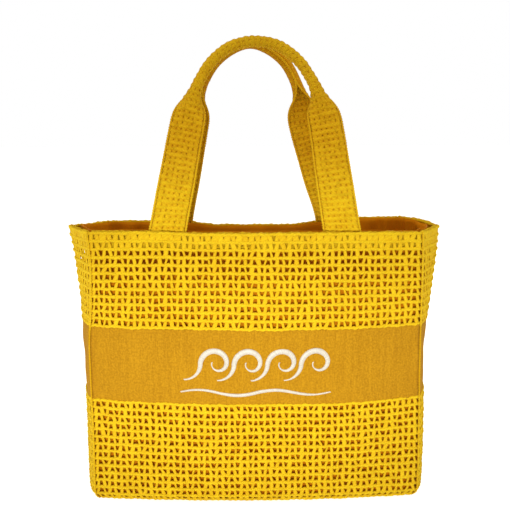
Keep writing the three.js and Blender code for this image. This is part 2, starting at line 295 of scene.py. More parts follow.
class Shader:
    def __init__(self, name, **constants):
        self.material = bpy.data.materials.new(name)
        self.material.use_nodes = True
        self.tree = self.material.node_tree
        self.surface = self.tree.nodes["Principled BSDF"]
        for socket, value in constants.items():
            self.surface.inputs[socket.replace("_", " ")].default_value = value

    def add(self, kind, settings, values, output=0):
        node = self.tree.nodes.new(kind)
        for key, value in settings.items():
            if key == "ramp":
                node.color_ramp.elements[0].position, node.color_ramp.elements[0].color = value[0]
                node.color_ramp.elements[-1].position, node.color_ramp.elements[-1].color = value[-1]
                for position, colour in value[1:-1]:
                    node.color_ramp.elements.new(position).color = colour
            else:
                setattr(node, key, value)
        for key, value in values.items():
            if isinstance(value, Wire):
                self.tree.links.new(value.socket, node.inputs[key])
            else:
                node.inputs[key].default_value = value
        return Wire(self, node.outputs[output])

    def parts(self, vector):
        node = self.add("ShaderNodeSeparateXYZ", {}, {0: vector}).socket.node
        return [Wire(self, node.outputs[index]) for index in range(3)]

    def attribute(self, name):
        return self.add("ShaderNodeAttribute", {"attribute_name": name}, {}, "Vector")

    def noise(self, scale, detail=2.0, vector=None):
        vector = vector or self.add("ShaderNodeTexCoord", {}, {}, "Object")
        return self.add("ShaderNodeTexNoise", {}, {"Vector": vector, "Scale": scale, "Detail": detail})

    def stretch(self, vector, scale):
        return self.add("ShaderNodeMapping", {}, {"Vector": vector, "Scale": scale})

    def blend(self, share, first, second, kind="MIX"):
        settings = {"data_type": "RGBA", "blend_type": kind}
        return self.add("ShaderNodeMix", settings, {0: share, 6: first, 7: second}, 2)

    def ramp(self, value, *stops):
        return self.add("ShaderNodeValToRGB", {"ramp": stops}, {0: value})

    def give(self, socket, wire):
        self.tree.links.new(wire.socket, self.surface.inputs[socket])

    def bump(self, height, strength, distance):
        values = {"Height": height, "Strength": strength, "Distance": distance}
        self.give("Normal", self.add("ShaderNodeBump", {}, values))


def rgba(red, green, blue):
    return (red, green, blue, 1.0)


# the light and deep yarn colours are mixed by how raised the yarn is: painted shade, darker in the fabric's
# recesses
yarnSurfaceAndShade = {
    "light": rgba(0.94, 0.665, 0.014), "deep": rgba(0.66, 0.345, 0.003),
    "blotch": rgba(0.92, 0.64, 0.02), "worn": rgba(0.82, 0.69, 0.4),
    "roughness": 0.85, "plies": 3, "plyLength": 0.0042,
}


def makeYarn():
    shader = Shader("crochetYarn", Roughness=yarnSurfaceAndShade["roughness"], Sheen_Weight=0.02, Sheen_Roughness=0.6,
                    Specular_IOR_Level=0.10)
    along, cosine, sine = shader.parts(shader.attribute("strand"))
    tone, raisedShade, worn = shader.parts(shader.attribute("stitch"))
    angle = sine.math("ARCTAN2", cosine)
    turns = along * (2 * math.pi / yarnSurfaceAndShade["plyLength"]) + angle * yarnSurfaceAndShade["plies"]
    ply = turns.math("SINE") * 0.5 + 0.5
    fuzz = shader.noise(2600.0, 3.0)
    speckle = shader.noise(900.0, 2.0)
    blotch = shader.noise(28.0, 2.0)
    # painted shade: yarn deep in the fabric leans to the deep colour, raised yarn to the light one; ply,
    # speckle and tone vary it
    height = raisedShade * 0.62 + 0.38 + (ply - 0.5) * 0.22 + (speckle - 0.5) * 0.35 + tone * 0.16
    body = shader.blend(height, yarnSurfaceAndShade["deep"], yarnSurfaceAndShade["light"])
    dyedAndShaded = shader.blend((blotch - 0.5) * 0.5 + 0.12, body, yarnSurfaceAndShade["blotch"])
    # the dark tint multiplies in as the stitch attribute's third value asks: painted shade up the handles, and
    # a darker thread along the side seams
    shader.give("Base Color", shader.blend(worn, dyedAndShaded, yarnSurfaceAndShade["worn"], "MULTIPLY"))
    shader.bump(ply * 0.7 + fuzz * 0.6, 0.75, 0.0005)
    return shader.material


canvasFinish = {
    "light": rgba(0.63, 0.325, 0.011), "deep": rgba(0.44, 0.205, 0.005),
    "warp": 0.00095, "weft": 0.0008,   # the spacing of its threads
}


def makeCanvas():
    shader = Shader("canvasWeave", Roughness=0.9, Sheen_Weight=0.02, Specular_IOR_Level=0.12)
    uv = shader.add("ShaderNodeUVMap", {"uv_map": "cloth"}, {})
    across, up = shader.parts(uv)[:2]
    warp = (across * (2 * math.pi / canvasFinish["warp"])).math("SINE")
    weft = (up * (2 * math.pi / canvasFinish["weft"])).math("SINE")
    cloth = warp * weft
    slub = shader.noise(900.0, 2.0, shader.stretch(uv, (1.0, 0.12, 1.0)))
    fleck = shader.noise(430.0, 3.0, uv)
    ribs = shader.noise(260.0, 1.0, shader.stretch(uv, (1.0, 0.05, 1.0)))
    mottle = shader.noise(22.0, 2.0)
    tone = cloth * 0.2 + (slub - 0.5) * 1.3 + (fleck - 0.5) * 2.3 + (ribs - 0.5) * 0.8 + 0.55
    tone = tone + (mottle - 0.5) * 0.3
    shader.give("Base Color", shader.blend(tone, canvasFinish["deep"], canvasFinish["light"]))
    shader.bump(cloth * 0.5 + slub * 0.7 + fleck * 0.6, 0.5, 0.0004)
    return shader.material


liningFinish = {
    "light": rgba(0.74, 0.265, 0.002), "deep": rgba(0.54, 0.170, 0.001), "thread": 0.0006,
}


def makeLining():
    shader = Shader("liningCloth", Roughness=0.8, Sheen_Weight=0.0, Specular_IOR_Level=0.06)
    uv = shader.add("ShaderNodeUVMap", {"uv_map": "cloth"}, {})
    across, up = shader.parts(uv)[:2]
    count = 2 * math.pi / liningFinish["thread"]
    cloth = (across * count).math("SINE") * (up * count).math("SINE")
    mottle = shader.noise(30.0, 3.0)
    fleck = shader.noise(1500.0, 2.0, uv)
    tone = (mottle - 0.5) * 1.2 + (fleck - 0.5) * 0.5 + cloth * 0.08 + 0.55
    shader.give("Base Color", shader.blend(tone, liningFinish["deep"], liningFinish["light"]))
    shader.bump(cloth * 0.4 + fleck * 0.6, 0.3, 0.0002)
    return shader.material


threadTonesAndShade = {"light": rgba(0.80, 0.775, 0.70), "deep": rgba(0.46, 0.42, 0.35)}


def makeThread():
    shader = Shader("satinThread", Roughness=0.42, Sheen_Weight=0.2, Specular_IOR_Level=0.5)
    tone, raisedShade = shader.parts(shader.attribute("stitch"))[:2]
    fleck = shader.noise(1800.0, 2.0)
    shade = raisedShade * 0.7 + tone * 0.25 + (fleck - 0.5) * 0.3 + 0.3
    shader.give("Base Color", shader.blend(shade, threadTonesAndShade["deep"], threadTonesAndShade["light"]))
    shader.bump(fleck, 0.2, 0.0001)
    return shader.material


yarn = makeYarn()
canvasCloth = makeCanvas()
liningCloth = makeLining()
satinThread = makeThread()
print("materials ready")


# crochet is one length of ridge and one pair of posts, copied over a panel
ridgeShape = {"sides": 8, "steps": 4, "high": 1.04, "deep": 0.9}
postShape = {
    "sides": 8, "foot": 1.16, "groove": 0.74, "grooveWidth": 0.2,
    "moves": [(0.22, 0.86), (0.50, 0.95), (0.28, 1.22)],   # each a share of its height and a change of width
}


def modelRidge(pitch, halfHeight, halfDepth):
    # a plied strand lying along X, half a turn for each stitch
    sides, steps = ridgeShape["sides"], ridgeShape["steps"]
    deselectAll()
    bpy.ops.mesh.primitive_circle_add(vertices=sides, radius=1, fill_type="NOTHING",
                                      rotation=(0, math.pi / 2, 0))
    ridge = bpy.context.object
    bpy.ops.object.mode_set(mode="EDIT")
    bpy.ops.mesh.select_all(action="SELECT")
    bpy.ops.transform.resize(value=(1, halfHeight * ridgeShape["high"], halfDepth * ridgeShape["deep"]))
    for step in range(steps):
        bpy.ops.mesh.extrude_region_move(TRANSFORM_OT_translate={"value": (pitch / steps, 0, 0)})
        bpy.ops.transform.rotate(value=math.pi / steps, orient_axis="X",
                                 center_override=((step + 1) * pitch / steps, 0, 0))
    bpy.ops.object.mode_set(mode="OBJECT")
    return ridge


def modelPost(pitch, rowPitch, halfWidth, halfDepth, lean, column):
    # one leaning stitch leg, thicker where it meets the rows; a groove runs down its middle
    shape = postShape
    foot = (column + 0.5 - lean) * pitch
    deselectAll()
    bpy.ops.mesh.primitive_circle_add(vertices=shape["sides"], radius=1, fill_type="NGON",
                                      location=(foot, 0, 0), rotation=(math.pi / 2, 0, 0))
    post = bpy.context.object
    bpy.ops.object.mode_set(mode="EDIT")
    bpy.ops.mesh.select_all(action="SELECT")
    bpy.ops.transform.resize(value=(halfWidth * shape["foot"], 1, halfDepth), center_override=(foot, 0, 0))
    bpy.ops.object.mode_set(mode="OBJECT")
    bpy.ops.object.transform_apply(location=True, rotation=True, scale=True)
    for vertex in post.data.vertices:
        vertex.select = abs(vertex.co.x - foot) < halfWidth * shape["grooveWidth"]
    bpy.ops.object.mode_set(mode="EDIT")
    bpy.ops.mesh.select_mode(type="VERT")
    bpy.ops.transform.resize(value=(1, 1, shape["groove"]), center_override=(foot, 0, 0))
    bpy.ops.mesh.select_all(action="SELECT")
    reached = 0
    for share, width in shape["moves"]:
        reached += share
        bpy.ops.mesh.extrude_region_move(
            TRANSFORM_OT_translate={"value": (2 * lean * pitch * share, rowPitch * share, 0)})
        centre = (foot + 2 * lean * pitch * reached, rowPitch * reached, 0)
        bpy.ops.transform.resize(value=(width, 1, 1), center_override=centre)
    bpy.ops.object.mode_set(mode="OBJECT")
    return post


def repeatPiece(piece, counts, steps):
    applyTransform(piece)
    for count, step in zip(counts, steps):
        array = piece.modifiers.new("repeat", "ARRAY")
        array.use_relative_offset = False
        array.use_constant_offset = True
        array.constant_offset_displace = step
        array.count = count
    applyAll(piece)


def applyTransform(piece):
    makeActive(piece)
    bpy.ops.object.transform_apply(location=True, rotation=True, scale=True)


def joinPieces(name, pieces):
    deselectAll()
    for piece in pieces:
        piece.select_set(True)
    bpy.context.view_layer.objects.active = pieces[0]
    bpy.ops.object.join()
    pieces[0].name = name
    pieces[0].data.name = name
    return pieces[0]


openStitch = {
    "ridgeHeight": 0.255, "postWidth": 0.300, "postDepth": 0.70, "lean": 0.125,
    "wobbleAcross": 0.12, "wobbleUp": 0.07, "wobbleDepth": 0.0003,
    "postSpread": 0.30, "footShift": 0.09, "postStep": 0.06,   # how unlike each other the posts are
    "rowSwell": 0.16,
}


def crochetPanel(name, columns, rows, pitch, rowPitch, thickness, place, fullness, seed, stitch=openStitch):
    # place(u, v, out) turns columns, rows and a height over the middle of the fabric into points
    rng = np.random.default_rng(seed)
    ridge = modelRidge(pitch, stitch["ridgeHeight"] * rowPitch, thickness / 2)
    repeatPiece(ridge, (columns, rows + 1), ((pitch, 0, 0), (0, rowPitch, 0)))
    points = readPoints(ridge)
    u, v, out = points[:, 0] / pitch, points[:, 1] / rowPitch, points[:, 2]
    row = np.round(v)
    offset = points[:, 1] - row * rowPitch
    swell = 1 + latticeNoise(rng, u, row, stitch["rowSwell"])[:, 0]
    angle = np.stack([offset / (stitch["ridgeHeight"] * rowPitch), out / (thickness / 2)], -1)
    angle /= np.maximum(np.linalg.norm(angle, axis=1, keepdims=True), 1e-6)
    ridgeStrand = np.column_stack([points[:, 0], angle])
    ridgeCloth = np.column_stack([u, row + offset * swell / rowPitch, out * swell])

    pair = [modelPost(pitch, rowPitch, stitch["postWidth"] * pitch, stitch["postDepth"] * thickness / 2,
                      stitch["lean"] * way, column) for column, way in ((0, 1), (1, -1))]
    posts = joinPieces("posts", pair)
    repeatPiece(posts, ((columns + 1) // 2, rows), ((2 * pitch, 0, 0), (0, rowPitch, 0)))
    points = readPoints(posts)
    perPost = len(pair[0].data.vertices) // (2 * ((columns + 1) // 2) * rows)
    block = points.reshape(-1, perPost, 3)
    foot = np.floor(block[:, :, 0].mean(1) / pitch)
    level = np.floor(block[:, :, 1].mean(1) / rowPitch)
    way = np.where(foot % 2 == 0, 1.0, -1.0)[:, None]
    share = block[:, :, 1] / rowPitch - level[:, None]
    centre = (foot[:, None] + 0.5 + stitch["lean"] * way * (2 * share - 1)) * pitch
    count = len(block)
    width = fullness(level)[:, None] * (1 + rng.uniform(-1, 1, (count, 1)) * stitch["postSpread"])
    drift = mix(rng.uniform(-1, 1, (count, 1)), rng.uniform(-1, 1, (count, 1)), share) * stitch["footShift"]
    side = block[:, :, 0] - centre
    postU = (centre + side * width) / pitch + drift
    postOut = block[:, :, 2] + rng.uniform(-1, 1, (count, 1)) * thickness * stitch["postStep"]
    angle = np.stack([side / (stitch["postWidth"] * pitch), block[:, :, 2] / (thickness / 2)], -1)
    angle /= np.maximum(np.linalg.norm(angle, axis=2, keepdims=True), 1e-6)
    postStrand = np.concatenate([block[:, :, 1:2], angle], 2).reshape(-1, 3)
    postCloth = np.stack([postU, block[:, :, 1] / rowPitch, postOut], -1).reshape(-1, 3)

    piece = joinPieces(name, [ridge, posts])
    cloth = np.concatenate([ridgeCloth, postCloth])
    strand = np.concatenate([ridgeStrand, postStrand])
    wobble = latticeNoise(rng, cloth[:, 0], cloth[:, 1], 1.0, 3)
    spots = latticeNoise(rng, cloth[:, 0] * 0.9 + 0.3, cloth[:, 1] * 0.9 + 0.3, 1.0)[:, 0]
    edge = np.clip(np.minimum(cloth[:, 0], columns - cloth[:, 0]), 0, 1)
    u = np.clip(cloth[:, 0] + wobble[:, 0] * stitch["wobbleAcross"] * edge, 0, columns)
    v = cloth[:, 1] + wobble[:, 1] * stitch["wobbleUp"]
    out = cloth[:, 2] + wobble[:, 2] * stitch["wobbleDepth"]
    writePoints(piece, place(u, v, out))
    writeVectors(piece, "strand", strand)
    # painted shade: yarn in the middle of the fabric, around its holes, is darkest, the outer face lightest and
    # the inner face in between
    raisedShade = np.clip(np.maximum(cloth[:, 2], -0.45 * cloth[:, 2]) / (thickness / 2), 0, 1)
    writeVectors(piece, "stitch", np.column_stack([spots, raisedShade, np.zeros(len(raisedShade))]))
    tidyShell(piece, weld=2e-6)
    return piece


crochetRows = {
    "wideColumns": 54, "sideColumns": 17, "upperRows": 12, "lowerRows": 15,
    "hemRows": 2, "column": 0.00726, "edge": 0.0014,
    "topFullness": 1.72, "nextFullness": 1.3, "hemFullness": 2.2,   # dense rows at the rim
}


def wallPanel(name, wall, rows, low, high, thickness, middleDepth, fullness, seed):
    wideWall = wall in ("front", "back")
    columns = crochetRows["wideColumns" if wideWall else "sideColumns"]
    rowPitch = (high - low) / (rows + 2 * openStitch["ridgeHeight"])
    span = bagShape["rimSeamSpan"] if wideWall else bagShape["depth"]

    def place(u, v, out):
        length = low + rowPitch * (v + openStitch["ridgeHeight"])
        trim = 1 - 2 * (crochetRows["edge"] + middleDepth - thickness / 2) / span
        across = np.clip((u / columns * 2 - 1) * trim, -1, 1)
        return soften(wallPoint(wall, across, length, middleDepth - out))

    return crochetPanel(name, columns, rows, crochetRows["column"], rowPitch, thickness, place, fullness, seed)


def makeCrochet():
    thick = layers["crochet"]
    low, high = lengthAt(bandLow), lengthAt(bandHigh)
    topRow = crochetRows["upperRows"] - 1

    def openBody(level):
        second = np.where(level == topRow - 1, crochetRows["nextFullness"], 1.0)
        return np.where(level >= topRow, crochetRows["topFullness"], second)

    def plainBody(level):
        return np.ones(len(level))

    def hemBody(level):
        return np.full(len(level), crochetRows["hemFullness"])

    for index, wall in enumerate(wallNames):
        upper = wallPanel(f"{wall}UpperCrochet", wall, crochetRows["upperRows"], high - 0.0004, wallLength,
                          thick, thick / 2, openBody, 11 + index)
        finishPiece(upper, "bag", "crochet", yarn, f"{wall}_upper_crochet")
        lower = wallPanel(f"{wall}LowerCrochet", wall, crochetRows["lowerRows"], 0.0006, low + 0.0004,
                          thick, thick / 2, plainBody, 21 + index)
        finishPiece(lower, "bag", "crochet", yarn, f"{wall}_lower_crochet")
        hem = wallPanel(f"{wall}Hem", wall, crochetRows["hemRows"], wallLength - layers["hemHeight"],
                        wallLength, layers["hem"] * 1.25, layerDepth + layers["hem"] / 2 - 0.0006,
                        hemBody, 31 + index)
        finishPiece(hem, "bag", "crochet", yarn, f"{wall}_hem")
        print("crochet:", wall, len(upper.data.polygons) + len(lower.data.polygons) + len(hem.data.polygons))


makeCrochet()


baseShape = {"rows": 8, "columns": 52, "row": 0.009, "fullness": 1.25, "pucker": 0.0006, "liningLift": 0.0014}


def basePoint(across, along, height):
    # across and along run -1..1 between the feet of the walls
    halfX = bagShape["seamSpan"] / 2 - bagShape["bottomRadius"]
    halfY = bagShape["depth"] / 2 - bagShape["bottomRadius"]
    x = across * (halfX + bagShape["sideBulge"] * (1 - np.abs(along) ** bagShape["bowPower"]))
    y = along * (halfY + bellyAt(0.0) * (1 - across ** 2))
    return np.stack([x, y, height], -1)


def makeBase():
    rows, columns = baseShape["rows"], baseShape["columns"]

    def place(u, v, out):
        across = np.clip(1 - u / columns * 2, -1, 1)
        along = np.clip(v / rows * 2 - 1, -1.02, 1.02)
        return soften(basePoint(across, along, layers["crochet"] / 2 - out))

    base = crochetPanel("baseCrochet", columns, rows, crochetRows["column"], baseShape["row"],
                        layers["crochet"], place, lambda level: np.full(len(level), baseShape["fullness"]), 41)
    finishPiece(base, "bag", "crochet", yarn, "base_crochet")
    u, v = np.meshgrid(np.linspace(-1, 1, 90), np.linspace(-1, 1, 26))
    puckers = baseShape["pucker"] * (np.sin(u * 23 + v * 5) + np.sin(u * 41 - v * 7))
    points = soften(basePoint(u * 0.985, v * 0.97, layerDepth + baseShape["liningLift"] + puckers))
    lining = clothSheet("baseLining", points, np.stack([u * 0.19, v * 0.04], -1), layers["lining"])
    finishPiece(lining, "bag", "lining", liningCloth, "base_lining")
    print("base done")


makeBase()


bandFinish = {"tuck": 0.0016, "ripple": 0.00035}


def makeBand():
    tuck = bandFinish["tuck"]
    low, high = lengthAt(bandLow) - tuck, lengthAt(bandHigh) + tuck
    for wall in wallNames:
        half = bagShape["seamSpan" if wall in ("front", "back") else "depth"] / 2
        across, length = np.meshgrid(np.linspace(-1, 1, 120 if half > 0.1 else 48), np.linspace(low, high, 36))
        ripple = bandFinish["ripple"] * (np.sin(across * half * 230 + length * 50)
                                         + np.sin(across * half * 97 - length * 150 + 1.0))
        depth = layers["canvasRecess"] + ripple
        points = soften(wallPoint(wall, across * (1 - layers["canvas"] / half), length, depth))
        band = clothSheet(f"{wall}CanvasBand", points, np.stack([across * half, length], -1), layers["canvas"])
        finishPiece(band, "bag", "canvas", canvasCloth, f"{wall}_canvas_band")
        high - low
    print("band done")


makeBand()


liningShape = {
    "rows": 84, "wideSteps": 110, "sideSteps": 44, "creases": 14, "crease": 0.0034, "seed": 5,
    "mouthCrease": 0.011, "mouthAt": 0.180, "mouthWidth": 0.045,   # deeper where the mouth turns
}


def liningDepth(wall, length, across):
    # inside the hem, and inside the sewn-in strap ends where there are any
    below = wallLength - length
    step = layers["hem"] + layers["gap"]
    if wall in ("front", "back"):
        step = step + (layers["strap"] + layers["gap"]) * (1 - smoothStep(0.68, 0.88, np.abs(across)))
    ease = layers["tabLength"] + layers["liningEase"]
    return layerDepth + step * (1 - smoothStep(ease, ease + 2 * layers["liningEase"], below))


def makeLiningBag():
    shape = liningShape
    lengths = np.linspace(quarter * 0.2, wallLength - layers["liningDrop"], shape["rows"])
    ring, outward = [], []
    for wall in wallNames:
        isWide = wall in ("front", "back")
        steps = shape["wideSteps"] if isWide else shape["sideSteps"]
        across, length = np.meshgrid(np.linspace(-1, 1, steps, endpoint=False), lengths)
        other = liningDepth("left" if isWide else "front", length, 1.0)
        room = bagShape["rimSeamSpan"] if isWide else bagShape["depth"]
        depth = liningDepth(wall, length, across)
        ring.append(wallPoint(wall, across * (1 - 2 * other / room), length, depth))
        side = 1 if wall in ("front", "right") else -1
        normal = (0, -side, 0) if isWide else (side, 0, 0)
        outward.append(np.broadcast_to(normal, ring[-1].shape))
    points, normals = np.concatenate(ring, 1), np.concatenate(outward, 1).astype(float)
    for turn in range(3):
        points = points * 0.5 + (np.roll(points, 1, 1) + np.roll(points, -1, 1)) * 0.25
    for turn in range(24):
        normals = normals * 0.5 + (np.roll(normals, 1, 1) + np.roll(normals, -1, 1)) * 0.25
    around = np.linspace(0, 2 * math.pi, points.shape[1], endpoint=False)[None, :]
    up = (lengths / wallLength)[:, None]
    rng = np.random.default_rng(shape["seed"])
    fold = np.zeros(points.shape[:2])
    for wave in range(shape["creases"]):
        count, slope, start = rng.integers(5, 34), rng.uniform(-9, 9), rng.uniform(0, 6.28)
        sharp = 1 - np.abs(np.sin(around * count / 2 + slope * up + start))
        fold = fold + sharp ** 2.2 * rng.uniform(0.4, 1.0) / 4
    corner = np.exp(-((np.abs(points[..., 0]) - shape["mouthAt"]) / shape["mouthWidth"]) ** 2)
    mouth = smoothStep(0.78, 0.98, up) * corner
    inward = fold * (shape["crease"] + shape["mouthCrease"] * mouth) * smoothStep(0.02, 0.12, up)
    rimHold = 1 - 0.75 * smoothStep(0.985, 1.0, up) * (1 - corner)
    points = soften(points - normals * (inward * rimHold)[..., None])
    rows, columns = points.shape[:2]
    lining = meshPiece("liningBag", points, gridFaces(rows, columns, closed=True))
    perimeter = 2 * (bagShape["rimSeamSpan"] + bagShape["depth"])
    uv = np.stack(np.broadcast_arrays(around / (2 * math.pi) * perimeter, lengths[:, None]), -1)
    writeUv(lining, uv)
    solid = lining.modifiers.new("thickness", "SOLIDIFY")
    solid.thickness = layers["lining"]
    solid.offset = -1
    applyAll(lining)
    tidyShell(lining, fillEnds=False)
    finishPiece(lining, "bag", "lining", liningCloth, *[f"{wall}_lining" for wall in wallNames])
    print("lining done")


makeLiningBag()


def ropeRings(path, outward, radius, pitch, sides=8, flat=0.72, bumps=0.0):
    tangent = np.gradient(path, axis=0)
    tangent /= np.linalg.norm(tangent, axis=1, keepdims=True)
    across = np.cross(tangent, outward)
    across /= np.linalg.norm(across, axis=1, keepdims=True)
    up = np.cross(across, tangent)
    run = np.concatenate([[0], np.cumsum(np.linalg.norm(np.diff(path, axis=0), axis=1))])
    spin = (run / pitch * 2 * math.pi)[:, None]
    angle = np.linspace(0, 2 * math.pi, sides, endpoint=False)[None, :]
    reach = 1 / np.sqrt(np.cos(angle - spin) ** 2 + (np.sin(angle - spin) / flat) ** 2)
    reach = reach * (radius * (1 + bumps * np.sin(2 * spin + 1)))
    rings = path[:, None] + (across[:, None] * np.cos(angle)[..., None]
                             + up[:, None] * np.sin(angle)[..., None]) * reach[..., None]
    return rings, run, angle


def makeRope(name, path, outward, radius, pitch, seed=3, bumps=0.12):
    rings, run, angle = ropeRings(path, outward, radius, pitch, bumps=bumps)
    count, sides = rings.shape[:2]
    rope = meshPiece(name, rings, gridFaces(count, sides, closed=True))
    strand = np.stack(np.broadcast_arrays(run[:, None], np.cos(angle), np.sin(angle)), -1)
    writeVectors(rope, "strand", strand.reshape(-1, 3))
    rng = np.random.default_rng(seed)
    tone = latticeNoise(rng, np.repeat(run / 0.004, sides), np.zeros(count * sides), 1.0)[:, 0]
    # painted shade: the side of the cord that faces out is painted lighter, the side that faces in darker
    raisedShade = np.broadcast_to(np.sin(angle) * 0.3 + 0.5, (count, sides)).ravel()
    writeVectors(rope, "stitch", np.column_stack([tone, raisedShade, raisedShade * 0]))
    tidyShell(rope)
    return rope


def writeDarkness(piece, darkness):
    attribute = piece.data.attributes["stitch"]
    values = np.zeros(len(piece.data.vertices) * 3)
    attribute.data.foreach_get("vector", values)
    values[2::3] = darkness
    attribute.data.foreach_set("vector", values.astype(np.float32))


seamShape = {
    "sunk": 0.0014, "radius": 0.0011, "pitch": 0.0065, "bumps": 0.4, "steps": 300,
    "dull": 0.3, "bandEdge": 0.004,   # its thread is darker, and darkest beside the canvas
}


def makeSideSeams():
    corners = {"front_right": ("front", 1, -1), "back_right": ("right", 1, 1),
               "back_left": ("back", -1, 1), "front_left": ("left", -1, -1)}
    lengths = np.linspace(quarter * 0.5, wallLength - 0.0008, seamShape["steps"])
    for name, (wall, towardsX, towardsY) in corners.items():
        ones = np.ones(len(lengths))
        path = soften(wallPoint(wall, ones, lengths, ones * seamShape["sunk"]))
        outward = np.broadcast_to(np.array([towardsX, towardsY, 0]) / math.sqrt(2), path.shape)
        first, second = name.split("_")
        rope = makeRope(f"{first}{second.title()}SideSeam", path, outward, seamShape["radius"],
                        seamShape["pitch"], bumps=seamShape["bumps"])
        height = readPoints(rope)[:, 2]
        edge = seamShape["bandEdge"]
        beside = smoothStep(bandLow - edge, bandLow + edge, height)
        beside = beside * smoothStep(bandHigh + edge, bandHigh - edge, height)
        writeDarkness(rope, mix(seamShape["dull"], 1, beside))
        finishPiece(rope, "bag", "crochet", yarn, f"{name}_side_seam")
    print("side seams done")


makeSideSeams()


handleShape = {
    "legSpacing": 0.200, "strapWidth": 0.042, "legHeight": 0.127, "legTopSpacing": 0.157, "legTopWidth": 0.037,
    "rise": 0.216, "gripDepth": 0.018,
    "pulls": {"front": (0.003, -0.002), "back": (0.005, 0.0175)},   # how far each leg's top leans inwards
    "swingGap": 0.00035, "strapStart": 0.003, "gripsMeetAt": -0.002, "gripGap": 0.005,
    "columns": 6, "row": 0.0067, "curl": 0.0012, "bend": 0.009,
    "wrap": 0.985, "foldGather": 0.004, "foldSwell": 0.0011, "foldThinner": 0.55, "foldOval": (0.84, 1.04),
    "core": 0.0012, "edgeCord": 0.00155, "edgePitch": 0.0062, "edgeBumps": 0.25,
    "gripSeamLength": 0.112, "gripSeamRadius": 0.0011, "gripSeamPitch": 0.0052, "gripSeamLift": 0.0006,
    # painted shade up the straps: little low on the legs, full at the shoulders, less at the grip
    "wearLow": 0.25, "wearHigh": 1.0, "gripWear": 0.35,
}
strapStitch = {
    "ridgeHeight": 0.40, "postWidth": 0.52, "postDepth": 0.80, "lean": 0.09,
    "wobbleAcross": 0.09, "wobbleUp": 0.08, "wobbleDepth": 0.0003,
    "postSpread": 0.16, "footShift": 0.05, "postStep": 0.06, "rowSwell": 0.16,
}
legSlope = (handleShape["legSpacing"] - handleShape["legTopSpacing"]) / 2 / handleShape["legHeight"]
tabDepth = rimThickness + layers["gap"]


def smoothCurve(knots, steps):
    # a centripetal curve through the knots, cut into even steps
    gaps = np.linalg.norm(np.diff(knots, axis=0), axis=1) ** 0.5
    before = np.vstack([2 * knots[:1] - knots[1:2], knots[:-1]])
    after = np.vstack([knots[1:], 2 * knots[-1:] - knots[-2:-1]])
    last, coming = np.append(gaps[0], gaps)[:, None], np.append(gaps, gaps[-1])[:, None]
    slopes = (knots - before) / last - (after - before) / (last + coming) + (after - knots) / coming
    t = np.linspace(0, 1, 40, endpoint=False)[:, None]
    line = []
    for index, gap in enumerate(gaps):
        start, end = knots[index], knots[index + 1]
        first, second = slopes[index] * gap, slopes[index + 1] * gap
        line.append(start * (2 * t ** 3 - 3 * t ** 2 + 1) + first * (t ** 3 - 2 * t ** 2 + t)
                    + end * (3 * t ** 2 - 2 * t ** 3) + second * (t ** 3 - t ** 2))
    line = np.vstack(line + [knots[-1:]])
    run = np.concatenate([[0], np.cumsum(np.linalg.norm(np.diff(line, axis=0), axis=1))])
    even = np.linspace(0, run[-1], steps)
    return np.column_stack([np.interp(even, run, line[:, axis]) for axis in range(2)]), even


def handleLine(pullLeft, pullRight):
    # the strap's middle line in the handle's own plane, from one sewn-in end to the other
    shape = handleShape
    foot = shape["legSpacing"] / 2 - shape["strapStart"] * legSlope
    bottom = shape["legSpacing"] / 2 + (layers["tabLength"] + 0.001) * legSlope
    half, legTop, rise = shape["legTopSpacing"] / 2, shape["legHeight"], shape["rise"]
    side = [(bottom, -layers["tabLength"] - 0.001), (foot, shape["strapStart"]),
            (mix(foot, half, 0.5), mix(shape["strapStart"], legTop, 0.5)), (half, legTop),
            (half * 0.92, mix(legTop, rise, 0.3)), (half * 0.79, mix(legTop, rise, 0.55)),
            (half * 0.61, mix(legTop, rise, 0.77)), (half * 0.34, mix(legTop, rise, 0.94))]

    def pulled(pull, up):
        return pull * float(smoothStep(0, legTop, up)) * mix(1, 0.65, float(smoothStep(legTop, rise, up)))

    left = [(pulled(pullLeft, up) - x, up) for x, up in side]
    right = [(x - pulled(pullRight, up), up) for x, up in side[::-1]]
    return smoothCurve(np.array(left + [(pulled((pullLeft - pullRight) / 2, rise), rise)] + right), 700)


